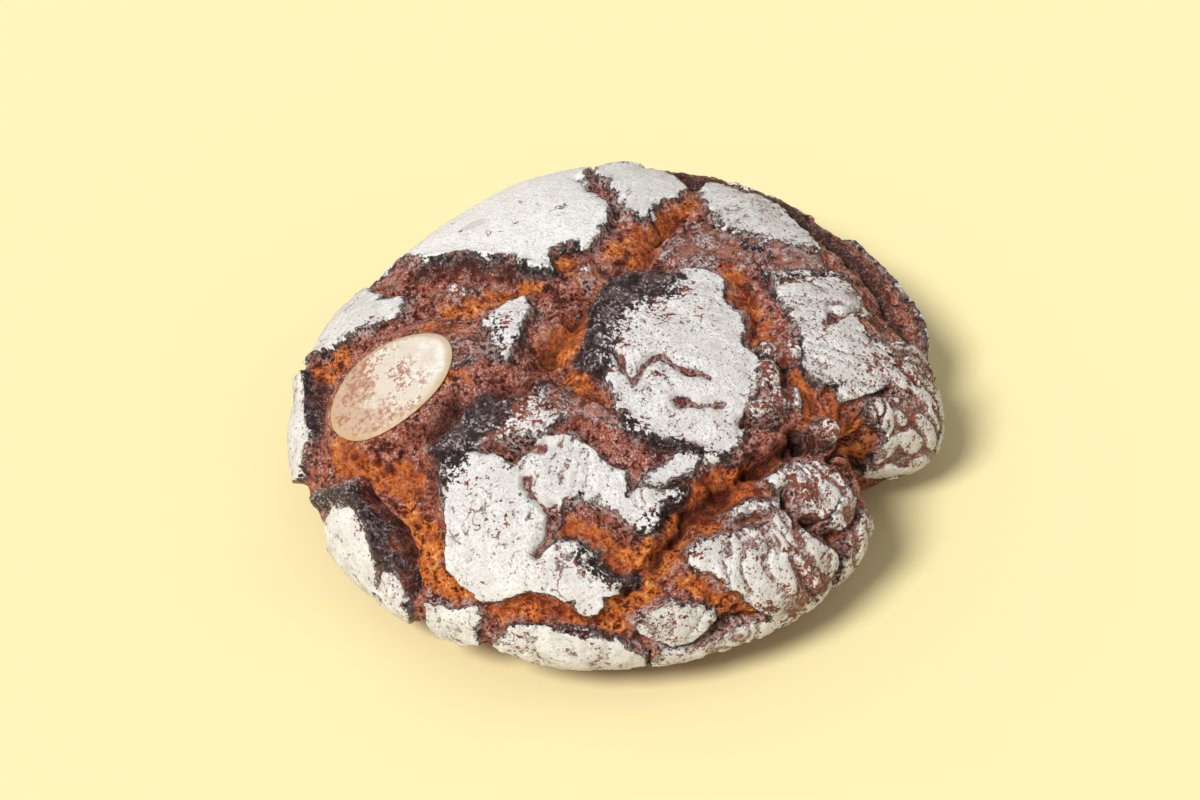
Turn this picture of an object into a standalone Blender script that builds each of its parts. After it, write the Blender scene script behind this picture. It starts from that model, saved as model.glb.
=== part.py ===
"""Rye bread loaf: a round, cracked hearth loaf with an oval wafer label stuck on its crust.

Metres, +Z up. The origin is the middle of the loaf's footprint on the table, with -Y the front.
Run with: blender --background --python part.py

A place on the crust is written (p, q): the way down from the crown, to the right and to the back,
in hundredths of the arc from the crown (0) to the waist (100), the loaf's widest level. Past 100
the crust turns in under the waist, and FOOT is where it meets the table.
"""

import math

import bmesh
import bpy
import numpy as np
from mathutils import Matrix, Vector, noise

# Driving dimensions of the loaf
RADIUS = 0.105  # mean plan radius at the waist
HEIGHT = 0.074  # table to crown
WAIST = 0.024  # height of the widest level
UNDERCUT = 0.034  # depth of the curve below the waist, cut off by the table
FULLNESS = 2.25  # 2 is an ellipse, more is boxier
FOOT = 150.0  # crust hundredths at which the flat base begins
MESH_CUTS = 84  # cuts along each edge of the cube that the loaf is blown up from
TOP_SHARE = 0.82  # share of those cuts spent above the foot
LOAF_TRIANGLES = 9000  # what the fine mesh is thinned to

# Relief of the crust
UNIT = RADIUS * 0.0118  # metres to one crust hundredth
RIM_FALL = 0.0022  # sharp drop at the edge of a crust plate
RIM_WIDTH = 1.3  # crust hundredths over which that drop is made
TORN_FALL = 0.0030  # further fall of the torn dough away from the plates
TORN_WIDTH = 4.0  # crust hundredths over which most of that fall is made
PLATE_MARGIN = 0.8  # bare rim of a plate round its floured top
DOME = 0.0012  # how far the middle of a plate swells
DOME_WIDTH = 7.0  # crust hundredths over which it swells
LUMP_SIZE = 0.0085  # spacing of the lumps of the torn dough
LUMP_HEIGHT = 0.0010

# Wafer label
LABEL_AT = (-47.5, -15.0)
LABEL_LENGTH = 0.0415
LABEL_WIDTH = 0.0265
LABEL_TURN = 27.0  # degrees, long axis from +X
LABEL_THICKNESS = 0.0008
LABEL_GAP = 0.0004
SEAT_MARGIN = 1.12  # reach of the label's level seat, 1 being the label's edge
SEAT_FADE = 1.60  # reach at which the seat has blended into the crust

CRUST_COLOUR = (0.30, 0.13, 0.06, 1.0)
LABEL_COLOUR = (0.80, 0.72, 0.60, 1.0)

# Swells and dents of the outline: (azimuth in degrees, half width in degrees, share of the radius)
OUTLINE = (
    (-21, 9, -0.235),  # the cleft between the two right lobes
    (-6, 13, 0.035),  # right lobe
    (-40, 14, -0.045),
    (-66, 20, -0.025),
    (-95, 22, -0.010),
    (-130, 26, 0.015),
    (-165, 24, 0.035),
    (165, 24, -0.010),
    (135, 24, -0.140),  # flat back left side
    (70, 26, 0.065),
    (35, 22, 0.060),
)

# Floured plates of crust, as corners in crust hundredths
PLATES = {
    "back_slab": (
        (-50, 32), (-42, 24), (-34, 21), (-26, 18), (-20, 17), (-16, 11), (-13, 11),
        (-14, 17), (-10, 21), (-7, 18), (-4, 22), (-3, 27), (-3, 34), (-6, 44), (-7, 54),
        (-7, 66), (-20, 74), (-34, 66), (-46, 46),
    ),
    "back_knob": (
        (1, 31), (6, 31), (8, 35), (11, 37), (14, 43), (13, 50), (10, 57), (3, 60),
        (-4, 60), (-3, 50), (0, 40),
    ),
    "left_back": (
        (-45, 10), (-45, 6), (-52, 4), (-62, 4), (-68, 6), (-84, 10), (-88, 24),
        (-70, 30), (-61, 24), (-55, 17), (-49, 12),
    ),
    "left_rim": (
        (-76, -1), (-75, -9), (-73, -16), (-74, -20), (-80, -23), (-90, -27),
        (-104, -26), (-110, -8), (-96, 2), (-85, 3),
    ),
    "left_front": (
        (-70, -43), (-63, -44), (-60, -50), (-60, -57), (-62, -60), (-64, -63),
        (-69, -68), (-78, -76), (-92, -76), (-96, -66), (-90, -56), (-82, -50), (-76, -45),
    ),
    "left_front_low": (
        (-61, -64), (-58, -63), (-56, -66), (-57, -71), (-61, -77), (-64, -84),
        (-74, -92), (-84, -86), (-79, -78), (-70, -71),
    ),
    "front_left_small": (
        (-53, -78), (-50, -75), (-46, -75), (-43, -78), (-36, -77), (-36, -82),
        (-40, -88), (-42, -97), (-52, -100), (-60, -95), (-58, -86),
    ),
    "front_block": (
        (-35, -35), (-27, -33), (-22, -37), (-14, -38), (-14, -48), (-12, -51),
        (-17, -59), (-17, -70), (-23, -71), (-29, -74), (-33, -75), (-37, -70),
        (-39, -64), (-37, -58), (-35, -53), (-35, -45),
    ),
    "front_top": (
        (-25, -27), (-21, -23), (-16, -22), (-13, -24), (-10, -27), (-12, -29),
        (-15, -32), (-22, -31), (-28, -31),
    ),
    "front_band": (
        (-14, -33), (-10, -32), (-7, -35), (-4, -37), (0, -40), (1, -46), (4, -44),
        (13, -44), (13, -47), (8, -49), (7, -53), (5, -54), (2, -53), (0, -50),
        (-4, -48), (-10, -46), (-12, -49), (-15, -52), (-20, -45), (-20, -38),
    ),
    "front_low": (
        (-17, -60), (-12, -57), (-8, -58), (-6, -60), (-7, -63), (-3, -67), (4, -68),
        (4, -70), (-3, -71), (-3, -75), (-6, -79), (-9, -76), (-9, -72), (-12, -73),
        (-15, -71), (-17, -70),
    ),
    "middle": (
        (12, 7), (12, 12), (15, 12), (20, 10), (21, 7), (21, 2), (24, 0), (24, -9),
        (29, -13), (28, -18), (26, -22), (24, -27), (25, -30), (23, -34), (19, -36),
        (14, -34), (5, -33), (2, -28), (-1, -22), (-2, -15), (-3, -6), (1, -4),
        (4, 1), (8, 1), (9, 4),
    ),
    "middle_sliver": ((4, -42), (8, -39), (12, -37), (16, -37), (14, -40), (9, -42)),
    "small_triangle": ((-25, -2), (-22, 2), (-18, 3), (-18, -1), (-21, -11), (-24, -9)),
    "back_right": (
        (18, 42), (21, 47), (28, 49), (35, 47), (35, 43), (38, 37), (41, 31), (42, 28),
        (38, 25), (34, 24), (28, 25), (23, 28), (20, 33),
    ),
    "right": (
        (31, 13), (36, 14), (43, 16), (46, 20), (49, 21), (51, 15), (56, 9), (50, 7),
        (49, 5), (56, 0), (60, -3), (60, -9), (57, -13), (53, -18), (50, -14),
        (46, -15), (42, -14), (39, -11), (38, -6), (35, 0), (33, 6),
    ),
    "right_rim": (
        (58, -1), (62, 3), (70, 7), (80, 8), (88, 4), (91, -4), (82, -7), (76, -9),
        (70, -10), (65, -12), (60, -9),
    ),
    "right_lobe": (
        (60, -14), (66, -13), (72, -9), (80, -6), (90, -3), (102, -5), (114, -14),
        (114, -26), (104, -30), (92, -28), (84, -24), (76, -21), (68, -21), (62, -18),
    ),
    "lobe_top": (
        (31, -40), (36, -37), (43, -36), (48, -37), (52, -41), (50, -47), (47, -50),
        (42, -50), (39, -47), (35, -44),
    ),
    "lobe_side": ((53, -40), (58, -43), (59, -49), (55, -54), (51, -51), (52, -46)),
    "lobe_rim": (
        (62, -47), (70, -47), (80, -58), (88, -70), (84, -82), (72, -76), (69, -66), (65, -58),
    ),
    "lobe_front": (
        (17, -56), (24, -54), (32, -53), (34, -49), (38, -49), (39, -54), (44, -55),
        (48, -56), (57, -60), (64, -66), (69, -74), (70, -86), (64, -97), (51, -90),
        (42, -82), (33, -77), (32, -74), (26, -71), (23, -67), (19, -64), (16, -61),
    ),
    "lobe_sliver": ((22, -50), (24, -48), (28, -47), (34, -46), (34, -48), (28, -49)),
    "front_low_right": (
        (3, -83), (7, -78), (12, -75), (20, -77), (26, -84), (23, -89), (23, -93),
        (16, -94), (9, -91), (5, -87),
    ),
    "front_rim": (
        (-37, -96), (-35, -91), (-28, -85), (-22, -83), (-18, -83), (-13, -87),
        (-6, -89), (0, -91), (3, -96), (8, -101), (9, -112), (-14, -117), (-30, -110),
    ),
    "front_rim_right": (
        (12, -97), (18, -99), (25, -97), (30, -92), (38, -88), (45, -87), (52, -92),
        (50, -102), (38, -110), (20, -116), (11, -112),
    ),
    "back_middle": (
        (8, 80), (22, 78), (38, 74), (50, 68), (60, 72), (50, 88), (30, 100), (8, 98),
    ),
    "back_wall": (
        (-40, 78), (-20, 82), (0, 84), (2, 100), (-6, 116), (-34, 110), (-48, 94),
    ),
    "back_corner": (
        (-60, 44), (-54, 56), (-50, 70), (-58, 86), (-76, 74), (-84, 52), (-74, 38),
    ),
    "back_right_wall": (
        (72, 42), (82, 26), (96, 20), (110, 30), (100, 52), (84, 68), (68, 66), (64, 54),
    ),
}

# Bare, dark crust with no flour on it
BARE_CRUST = {
    "middle_corner": (
        (-7, -14), (-5, -6), (-4, 2), (-1, 7), (6, 9), (13, 10), (14, 4), (6, -4), (-1, -16),
    ),
    "front_corner": ((-37, -31), (-32, -27), (-25, -22), (-21, -24), (-24, -32), (-34, -36)),
    "back_saddle": (
        (6, 19), (9, 23), (12, 27), (17, 28), (21, 27), (25, 24), (33, 24), (42, 24),
        (45, 18), (38, 14), (30, 14), (20, 13), (12, 14),
    ),
    "front_saddle": ((-16, -18), (-10, -21), (-4, -24), (2, -30), (-4, -30), (-12, -26)),
    "left_front_corner": (
        (-84, -36), (-70, -35), (-60, -36), (-57, -44), (-57, -56), (-56, -66),
        (-58, -74), (-62, -62), (-61, -46), (-67, -43), (-78, -46),
    ),
    "right_saddle": ((52, 6), (60, 4), (66, 2), (62, -2), (56, 1)),
}

# Splits that run through the crust: (half width and depth in metres, then places along them)
SPLITS = {
    "cleft": (0.0032, 0.0050, ((76, -29), (62, -28), (50, -33), (44, -31), (38, -29))),
    "valley": (
        0.0040, 0.0065,
        ((38, -31), (30, -36), (23, -41), (17, -49), (13, -55), (9, -62), (3, -70)),
    ),
    "left_front": (
        0.0035, 0.0080,
        ((-57, -39), (-55, -46), (-54, -51), (-54, -57), (-54, -65), (-56, -75)),
    ),
    "below_label": (0.0026, 0.0045, ((-30, -16), (-32, -23), (-38, -27), (-44, -30))),
    "upper_channel": (
        0.0035, 0.0050,
        ((-24, -18), (-19, -14), (-14, -10), (-9, -2), (-7, 5), (-2, 11), (5, 17), (10, 28)),
    ),
    "upper_left": (0.0030, 0.0040, ((-44, 16), (-36, 13), (-28, 12), (-19, 8))),
    "streak": (0.0022, 0.0025, ((-8, 52), (-5, 44), (1, 34))),
    "back_right_rim": (
        0.0028, 0.0035,
        ((8, 58), (19, 54), (30, 50), (39, 45), (49, 40), (57, 31), (67, 24), (80, 19)),
    ),
    "back_slit": (0.0019, 0.0038, ((21, 22), (27, 22), (32, 19))),
    "right_channel": (0.0025, 0.0035, ((28, 8), (29, -3), (34, -12), (35, -22), (40, -30))),
    "middle_crease": (0.0019, 0.0045, ((25, -29), (31, -28), (36, -27), (41, -29))),
    "lobe_joint": (0.0016, 0.0030, ((48, -33), (56, -30), (66, -30), (80, -31), (96, -31))),
    "lobe_split": (
        0.0024, 0.0045,
        ((35, -44), (39, -50), (46, -51), (54, -54), (61, -58), (65, -64), (67, -72)),
    ),
    "front_split": (0.0024, 0.0035, ((5, -94), (14, -97), (22, -95), (30, -89), (40, -86))),
    "middle_zigzag": (0.0013, 0.0032, ((0, -13), (3, -20), (8, -12), (12, -16), (18, -18))),
    "middle_slit": (0.0015, 0.0032, ((11, -23), (15, -25), (20, -24))),
    "front_slit": (0.0018, 0.0036, ((-29, -33), (-23, -34), (-14, -35))),
    "front_notch": (0.0015, 0.0034, ((-12, -48), (-14, -53), (-17, -60))),
    "front_crack": (0.0014, 0.0032, ((-18, -40), (-17, -45), (-14, -50), (-12, -53))),
    "saddle_crack": (0.0014, 0.0028, ((8, 24), (13, 22), (18, 19), (26, 16), (34, 17))),
    "saddle_branch": (0.0012, 0.0024, ((13, 22), (15, 26), (20, 27))),
    "right_tear": (0.0016, 0.0034, ((44, 3), (49, 7), (54, 10))),
    "lobe_crack": (0.0014, 0.0028, ((41, -62), (49, -71), (63, -80))),
}


# Scorched lips that curl up at a plate's edge: (half width and height in metres, places)
LIPS = {
    "back_rim": (
        0.0100, 0.0030,
        ((4, 66), (16, 64), (26, 62), (36, 56), (48, 50), (58, 42), (68, 33), (82, 24)),
    ),
    "left_gap": (0.0065, 0.0038, ((-76, 3), (-86, 6), (-96, 8))),
    "middle_left": (0.0030, 0.0020, ((-4, -13), (-4, -4), (-2, 4), (3, 9), (10, 10))),
    "front_corner": (0.0030, 0.0018, ((-35, -40), (-35, -33), (-30, -27), (-24, -21))),
    "front_left_edge": (0.0025, 0.0012, ((-35, -44), (-35, -52), (-38, -60), (-37, -68))),
    "left_front": (0.0028, 0.0024, ((-78, -39), (-68, -38), (-61, -39), (-58, -48), (-58, -58))),
    "left_rim": (0.0025, 0.0014, ((-75, -2), (-73, -9), (-71, -16))),
    "back_slab": (0.0025, 0.0014, ((-42, 23), (-32, 19), (-22, 15), (-14, 10))),
    "front_low": (0.0022, 0.0012, ((-8, -59), (-6, -64), (0, -67), (5, -69))),
    "middle_front": (0.0024, 0.0012, ((2, -29), (6, -34), (14, -36), (22, -36))),
    "lobe_front": (0.0024, 0.0012, ((18, -60), (26, -69), (34, -75), (44, -82))),
    "channel_fold": (0.0024, 0.0034, ((25, -34), (31, -31), (37, -29))),
}

# Round lumps that stand in the channels: (p, q, half width, half depth, height in metres)
KNOBS = (
    (33, -9, 3.6, 2.8, 0.0030),
    (31, -16, 3.4, 2.6, 0.0028),
    (34, -21, 3.2, 2.4, 0.0024),
    (29, -25, 3.0, 2.4, 0.0024),
    (45, -28, 3.4, 2.6, 0.0026),
    (-4, 10, 2.6, 2.2, 0.0020),
    (-30, -9, 2.4, 2.0, 0.0016),
    (-32, 9, 2.6, 1.8, 0.0014),
)


def azimuth_gap(a, b):
    """Degrees from azimuth b to azimuth a, -180 to 180."""
    return (a - b + 180.0) % 360.0 - 180.0


def plan_radius(azimuth):
    """The waist's distance from the middle, in metres, for azimuths in degrees."""
    share = np.ones_like(azimuth)
    for at, half_width, swell in OUTLINE:
        share = share + swell * np.exp(-((azimuth_gap(azimuth, at) / half_width) ** 2))
    return RADIUS * share


def smooth_crust(p, q):
    """Points of the loaf's smooth form at crust places (p, q), as an array of rows."""
    way = np.hypot(p, q)
    angle = np.arctan2(q, p)
    turn = np.radians(0.9 * np.minimum(way, FOOT))
    s, c = np.sin(turn), np.cos(turn)
    reach = (np.abs(s) ** FULLNESS + np.abs(c) ** FULLNESS) ** (-1.0 / FULLNESS)
    swell = plan_radius(np.degrees(angle)) - RADIUS
    radius = reach * s * (RADIUS + swell * np.clip(way / 100.0, 0.0, 1.2) ** 1.5)
    height = WAIST + reach * c * np.where(c > 0.0, HEIGHT - WAIST, UNDERCUT)
    base = np.clip((200.0 - way) / (200.0 - FOOT), 0.0, 1.0)
    radius = radius * np.where(way > FOOT, base, 1.0)
    x, y = radius * np.cos(angle), radius * np.sin(angle)
    return np.stack([x, y, np.maximum(height, 0.0)], axis=-1)


def outward(p, q):
    """Outward unit normals of the smooth form."""
    step = 0.5
    along = smooth_crust(p + step, q) - smooth_crust(p - step, q)
    across = smooth_crust(p, q + step) - smooth_crust(p, q - step)
    normal = np.cross(along, across)
    return normal / np.maximum(np.linalg.norm(normal, axis=-1, keepdims=True), 1e-12)


def from_segment(p, q, start, end):
    """Distance from each place to the line from start to end, in crust hundredths."""
    dp, dq = end[0] - start[0], end[1] - start[1]
    share = ((p - start[0]) * dp + (q - start[1]) * dq) / (dp * dp + dq * dq)
    share = np.clip(share, 0.0, 1.0)
    return np.hypot(p - start[0] - share * dp, q - start[1] - share * dq)


def depth_inside(p, q, corners):
    """How far each place lies inside an outline: negative outside it."""
    away = np.full(p.shape, np.inf)
    inside = np.zeros(p.shape, bool)
    for start, end in zip(corners, corners[1:] + corners[:1]):
        away = np.minimum(away, from_segment(p, q, start, end))
        crosses = (start[1] > q) != (end[1] > q)
        rise = end[1] - start[1] if end[1] != start[1] else 1.0
        inside ^= crosses & (p < start[0] + (q - start[1]) / rise * (end[0] - start[0]))
    return np.where(inside, away, -away)


def label_reach(p, q):
    """How far out each place lies from the label's middle, 1 at its edge."""
    turn = math.radians(LABEL_TURN)
    dp, dq = p - LABEL_AT[0], q - LABEL_AT[1]
    along = (dp * math.cos(turn) + dq * math.sin(turn)) * UNIT / (LABEL_LENGTH / 2)
    across = (dq * math.cos(turn) - dp * math.sin(turn)) * UNIT / (LABEL_WIDTH / 2)
    return np.hypot(along, across)


def from_line(p, q, places):
    """Distance from each place to a broken line, in crust hundredths."""
    away = np.full(p.shape, np.inf)
    for start, end in zip(places, places[1:]):
        away = np.minimum(away, from_segment(p, q, start, end))
    return away


def relief(p, q):
    """How far the crust stands above the smooth form: 0 on a plate, negative in the splits."""
    crust = np.full(p.shape, -np.inf)
    for corners in PLATES.values():
        crust = np.maximum(crust, depth_inside(p, q, corners) + PLATE_MARGIN)
    for corners in BARE_CRUST.values():
        crust = np.maximum(crust, depth_inside(p, q, corners))
    seat = np.clip((SEAT_FADE - label_reach(p, q)) / (SEAT_FADE - SEAT_MARGIN), 0.0, 1.0)
    seat = seat * seat * (3.0 - 2.0 * seat)
    torn = 1.0 - np.exp(-np.maximum(-crust, 0.0) / TORN_WIDTH)
    rise = DOME * (1.0 - np.exp(-np.maximum(crust, 0.0) / DOME_WIDTH))
    rise = rise - RIM_FALL * np.clip(0.5 - crust / RIM_WIDTH, 0.0, 1.0) - TORN_FALL * torn
    lumps = [noise.noise(Vector(at) / LUMP_SIZE) for at in smooth_crust(p, q)]
    rise = rise + LUMP_HEIGHT * np.array(lumps) * np.clip(-crust / 2.0, 0.0, 1.0)
    for half_width, depth, places in SPLITS.values():
        away = from_line(p, q, places)
        rise = rise - depth * np.exp(-((away * UNIT / half_width) ** 2))
    for half_width, height, places in LIPS.values():
        away = from_line(p, q, places)
        rise = rise + height * np.exp(-((away * UNIT / half_width) ** 2))
    for centre_p, centre_q, half_p, half_q, height in KNOBS:
        away = np.hypot((p - centre_p) / half_p, (q - centre_q) / half_q)
        rise = rise + height * np.sqrt(np.clip(1.0 - away**2, 0.0, 1.0))
    fade = np.clip((FOOT - 8.0 - np.hypot(p, q)) / 26.0, 0.0, 1.0)
    return rise * fade * (1.0 - seat)


def material(name, colour, roughness):
    made = bpy.data.materials.new(name)
    made.use_nodes = True
    shader = made.node_tree.nodes["Principled BSDF"]
    shader.inputs["Base Color"].default_value = colour
    shader.inputs["Roughness"].default_value = roughness
    return made


def add_object(name, mesh, finish, collection):
    made = bpy.data.objects.new(name, mesh)
    made.data.materials.append(finish)
    collection.objects.link(made)
    made.data.shade_smooth()
    return made


def crust_places(directions):
    """Crust places for unit directions from the middle: most of them land above the foot."""
    share = np.arccos(np.clip(directions[:, 2], -1.0, 1.0)) / math.pi
    above = share / TOP_SHARE * FOOT
    below = FOOT + (share - TOP_SHARE) / (1.0 - TOP_SHARE) * (200.0 - FOOT)
    way = np.where(share < TOP_SHARE, above, below)
    angle = np.arctan2(directions[:, 1], directions[:, 0])
    return way * np.cos(angle), way * np.sin(angle)


def thinned(mesh):
    """The same surface in LOAF_TRIANGLES triangles, kept where the crust bends most."""
    fine = bpy.data.objects.new("fine", mesh)
    bpy.context.scene.collection.objects.link(fine)
    decimate = fine.modifiers.new("thinning", "DECIMATE")
    decimate.ratio = LOAF_TRIANGLES / len(mesh.polygons)
    bpy.context.view_layer.update()
    seen = fine.evaluated_get(bpy.context.evaluated_depsgraph_get())
    coarse = bpy.data.meshes.new_from_object(seen)
    coarse.name = "loaf"
    bpy.data.objects.remove(fine)
    return coarse


def centred(objects):
    """Moves the meshes so that the origin is the middle of the footprint of them all."""
    points = np.array([v.co for made in objects for v in made.data.vertices])
    middle = (points.min(axis=0) + points.max(axis=0)) / 2.0
    for made in objects:
        made.data.transform(Matrix.Translation((-middle[0], -middle[1], 0.0)))


def loaf_mesh():
    """A finely cut cube blown up to a ball, whose points are then laid on the crust."""
    shape = bmesh.new()
    bmesh.ops.create_cube(shape, size=2.0)
    bmesh.ops.subdivide_edges(shape, edges=shape.edges[:], cuts=MESH_CUTS, use_grid_fill=True)
    # Evening out the grid: equal steps of angle, not of length, along each face
    directions = np.array([[math.tan(x * math.pi / 4) for x in v.co] for v in shape.verts])
    directions /= np.linalg.norm(directions, axis=1, keepdims=True)
    p, q = crust_places(directions)
    points = smooth_crust(p, q) + outward(p, q) * relief(p, q)[:, None]
    points[:, 2] = np.where(np.hypot(p, q) >= FOOT - 6.0, 0.0, np.maximum(points[:, 2], 0.0))
    for vert, point in zip(shape.verts, points):
        vert.co = Vector(point)
    bmesh.ops.triangulate(shape, faces=shape.faces[:])
    bmesh.ops.recalc_face_normals(shape, faces=shape.faces[:])
    mesh = bpy.data.meshes.new("loaf")
    shape.to_mesh(mesh)
    shape.free()
    return thinned(mesh)


def label_mesh():
    """An oval disc laid on the crust, open below: a Solidify modifier gives it its thickness."""
    rings, spokes = 6, 36
    shape = bmesh.new()
    bmesh.ops.create_circle(shape, cap_ends=True, cap_tris=True, segments=spokes, radius=1.0)
    radial = [e for e in shape.edges if len(e.link_faces) == 2]
    bmesh.ops.subdivide_edges(shape, edges=radial, cuts=rings - 1, use_grid_fill=True)
    turn = math.radians(LABEL_TURN)
    for vert in shape.verts:
        along = vert.co.x * LABEL_LENGTH / 2 / UNIT
        across = vert.co.y * LABEL_WIDTH / 2 / UNIT
        p = np.array([LABEL_AT[0] + along * math.cos(turn) - across * math.sin(turn)])
        q = np.array([LABEL_AT[1] + along * math.sin(turn) + across * math.cos(turn)])
        vert.co = Vector((smooth_crust(p, q) + outward(p, q) * LABEL_GAP)[0])
    bmesh.ops.recalc_face_normals(shape, faces=shape.faces[:])
    mesh = bpy.data.meshes.new("label")
    shape.to_mesh(mesh)
    shape.free()
    return mesh


def build():
    for old in list(bpy.data.objects):
        bpy.data.objects.remove(old)
    collection = bpy.data.collections.new("rye_loaf")
    bpy.context.scene.collection.children.link(collection)
    crust = material("crust", CRUST_COLOUR, 0.85)
    wafer = material("wafer", LABEL_COLOUR, 0.7)
    loaf = add_object("loaf", loaf_mesh(), crust, collection)
    loaf.data.set_sharp_from_angle(angle=math.radians(60))
    label = add_object("label", label_mesh(), wafer, collection)
    centred((loaf, label))
    solidify = label.modifiers.new("thickness", "SOLIDIFY")
    solidify.thickness = LABEL_THICKNESS
    solidify.offset = 1.0


build()
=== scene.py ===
"""Looks of the rye bread loaf: the finely shaped crust, the wafer label, studio and camera.

A place on the crust is written (p, q): the way down from the crown, to the right and to the back,
in hundredths of the arc from the crown (0) to the waist (100), the loaf's widest level.
"""

import math

import bpy
import numpy as np
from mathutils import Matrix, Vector


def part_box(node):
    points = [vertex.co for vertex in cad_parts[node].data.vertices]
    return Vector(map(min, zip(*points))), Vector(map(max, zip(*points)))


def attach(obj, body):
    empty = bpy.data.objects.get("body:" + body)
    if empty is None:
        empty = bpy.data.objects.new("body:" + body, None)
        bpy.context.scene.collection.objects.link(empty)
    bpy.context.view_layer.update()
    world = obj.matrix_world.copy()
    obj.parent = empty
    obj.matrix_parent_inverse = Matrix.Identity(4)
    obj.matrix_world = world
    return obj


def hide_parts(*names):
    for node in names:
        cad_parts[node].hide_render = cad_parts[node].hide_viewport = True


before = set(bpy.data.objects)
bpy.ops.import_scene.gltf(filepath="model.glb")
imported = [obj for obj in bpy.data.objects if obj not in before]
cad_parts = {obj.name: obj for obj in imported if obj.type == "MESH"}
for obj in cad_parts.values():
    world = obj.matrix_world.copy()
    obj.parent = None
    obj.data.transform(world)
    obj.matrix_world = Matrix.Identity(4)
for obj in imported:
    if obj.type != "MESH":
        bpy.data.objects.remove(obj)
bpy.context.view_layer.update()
LOAF_LOW, LOAF_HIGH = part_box("loaf")

# The loaf's smooth form, as the solid has it
LENGTH = LOAF_HIGH[0] - LOAF_LOW[0]
RADIUS = 0.105 * LENGTH / 0.2162
HEIGHT = 0.074
WAIST = 0.024
UNDERCUT = 0.034
FULLNESS = 2.25
FOOT = 150.0
UNIT = RADIUS * 0.0118  # metres to one crust hundredth
TOP_SHARE = 0.84
MESH_CUTS = 250
TRIANGLES = 196000

# Relief: heights, depths and sizes in metres, widths in crust hundredths
RIM_FALL = 0.0022
RIM_WIDTH = 1.0
TORN_FALL = 0.0030
TORN_WIDTH = 4.0
PLATE_MARGIN = 0.8
DOME = 0.0012
DOME_WIDTH = 7.0
WANDER = 1.2
WANDER_SIZE = 0.011
FRAY = 1.0
FRAY_SIZE = 0.0046
FAR = 12.0  # places further than this from an outline or a line, in crust hundredths, count alike
LUMP_HEIGHT = 0.0018
LUMP_SIZE = 0.0085
GRAIN_HEIGHT = 0.0013
GRAIN_SIZE = 0.0032
BUBBLE_DEPTH = 0.0019
BUBBLE_SIZE = 0.0046
SMALL_BUBBLE_DEPTH = 0.0008
SMALL_BUBBLE_SIZE = 0.0026
WAVE_HEIGHT = 0.00035
WRINKLE_HEIGHT = 0.00012
CREASE_DEPTH = 0.0017
CREASE_SIZE = 0.0052
CRUMBLE_HEIGHT = 0.0005
SEAT_GRAIN = 0.00008
UNDERSIDE_LIFT = 0.0004
DEEP_SPLIT = 0.005  # a split this deep gets the full painted shade inside

# Label
LABEL_AT = (-47.5, -15.0)
LABEL_LENGTH = 0.0415
LABEL_WIDTH = 0.0265
LABEL_TURN = 27.0
LABEL_THICKNESS = 0.0008
LABEL_GAP = 0.0004
SEAT_MARGIN = 1.12
SEAT_FADE = 1.60

# Swells and dents of the outline: (azimuth in degrees, half width in degrees, share of the radius)
OUTLINE = (
    (-21, 9, -0.235),  # the cleft between the two right lobes
    (-6, 13, 0.035),  # right lobe
    (-40, 14, -0.045),
    (-66, 20, -0.025),
    (-95, 22, -0.010),
    (-130, 26, 0.015),
    (-165, 24, 0.035),
    (165, 24, -0.010),
    (135, 24, -0.140),  # flat back left side
    (70, 26, 0.065),
    (35, 22, 0.060),
)

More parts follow.
